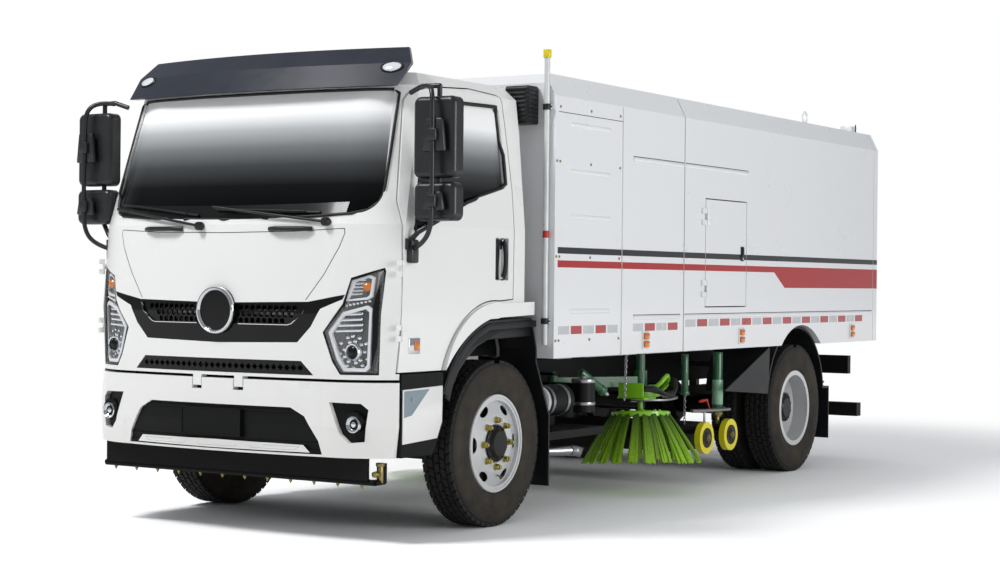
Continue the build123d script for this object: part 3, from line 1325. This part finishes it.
def brush_plane(lift=0):
    """The left brush's disc plane, tipped forward and outward, lifted along its spindle."""
    return Plane(origin=Vector(BRUSH_X, AXLE_F + BRUSH_V, BRUSH_TOP) + SPINDLE * lift,
                 x_dir=(0, 1, 0), z_dir=SPINDLE)


def make_arm():
    """The left swing arm: pivot boss, arm and the sleeve for the brush's post."""
    with BuildPart(mode=Mode.PRIVATE) as arm:
        with Locations((ARM_X, AXLE_F + ARM_V, ARM_Z)):
            Cylinder(36, ARM_BOSS)
            Cylinder(ARM_PIN_R, ARM_BOSS + 2 * RUN + 44)
        run = Vector(BRUSH_X - ARM_X, BRUSH_V - ARM_V, 0)
        with BuildSketch(Plane(origin=(ARM_X, AXLE_F + ARM_V, ARM_Z), x_dir=(0, 0, 1), z_dir=run)) as bar:
            Rectangle(70, 50)
        extrude(bar.sketch, amount=run.length)
        with Locations((BRUSH_X, AXLE_F + BRUSH_V, ARM_Z + 15)):
            Cylinder(SLEEVE_R, 120)
            Cylinder(POST_R + PIN_PLAY, 120, mode=Mode.SUBTRACT)
    return arm.part


def make_head():
    """The left brush head: the post in its sleeve and the tipped motor."""
    with BuildPart(mode=Mode.PRIVATE) as head:
        with Locations((BRUSH_X, AXLE_F + BRUSH_V, 820)):
            Cylinder(POST_R, 260)
        with BuildSketch(brush_plane(RUN)) as motor:
            Circle(70)
            Circle(SHAFT_R + PIN_PLAY, mode=Mode.SUBTRACT)
        extrude(motor.sketch, amount=80)
    return head.part


def make_brush():
    """The left brush: a disc with two rings of bristle tufts that flare outwards."""
    with BuildPart(mode=Mode.PRIVATE) as brush:
        with BuildSketch(brush_plane(-30)) as disc:
            Circle(205)
        extrude(disc.sketch, amount=30)
        with BuildSketch(brush_plane(-5)) as shaft:
            Circle(SHAFT_R)
        extrude(shaft.sketch, amount=60)
        for count, top_r, low_r, wide, turn in ((20, 180, BRUSH_R - 8, 92, 0),
                                                (14, 130, BRUSH_R - 110, 78, 10)):
            for i in range(count):
                a = turn + 360 * i / count
                levels = []
                for r, drop, w, t in ((top_r, -20, wide * 0.42, 40), (low_r, -BRISTLE, wide, 34)):
                    with BuildSketch(brush_plane(drop)) as tuft:
                        with Locations(Location((0, 0), a)):
                            with Locations((r, 0)):
                                Rectangle(t, w)
                    levels.append(tuft.sketch)
                add(loft(levels, ruled=True, mode=Mode.PRIVATE))
    return brush.part


sweepers = {}
for name, build in (("brush_arm", make_arm), ("brush_head", make_head), ("side_brush", make_brush)):
    left = build()
    with BuildPart() as node_left:
        add(left)
    with BuildPart() as node_right:
        add(mirror(left, about=Plane.YZ, mode=Mode.PRIVATE))
    sweepers[name + "_left"] = node_left
    sweepers[name + "_right"] = node_right

PIECES = {
    "rail_left": rail_left, "rail_right": rail_right, "cross_members": cross_members,
    "front_axle": front_axle, "rear_axle": rear_axle,
    "powertrain": powertrain, "bumper": bumper, "bumper_insert": bumper_insert,
    "step_boxes": step_boxes, "mudguards": mudguards,
    "rear_bars": rear_bars, "side_equipment": side_equipment, "exhaust": exhaust, "fuel_tank": fuel_tank,
    "suction_duct": suction_duct, "spray_bars": spray_bars, "front_box": front_box,
    "aux_engine": aux_engine,
    "level_tube": level_tube, "air_intake": air_intake, "cab_shell": cab_shell, "windscreen": windscreen,
    "sun_visor": sun_visor, "headlamps": headlamps, "grille": grille, "wipers": wipers,
    "dashboard": dashboard,
    "seats": seats, "door_left": door_left, "door_right": door_right, "door_glass_left": door_glass_left,
    "door_glass_right": door_glass_right, "mirror_left": mirror_left, "mirror_right": mirror_right,
    "knuckle_left": knuckle_left, "knuckle_right": knuckle_right, "tie_rod": tie_rod, **wheels,
    "hopper": hopper, "side_door": side_door, "tailgate": tailgate, "tip_barrels": tip_barrels,
    "tip_rods": tip_rods, "nozzle": nozzle, "casters_front": casters_front, "casters_rear": casters_rear,
    **sweepers,
}
os.makedirs("parts", exist_ok=True)
for label, piece in PIECES.items():
    piece.part.label = label
    export_step(piece.part, f"parts/{label}.step")
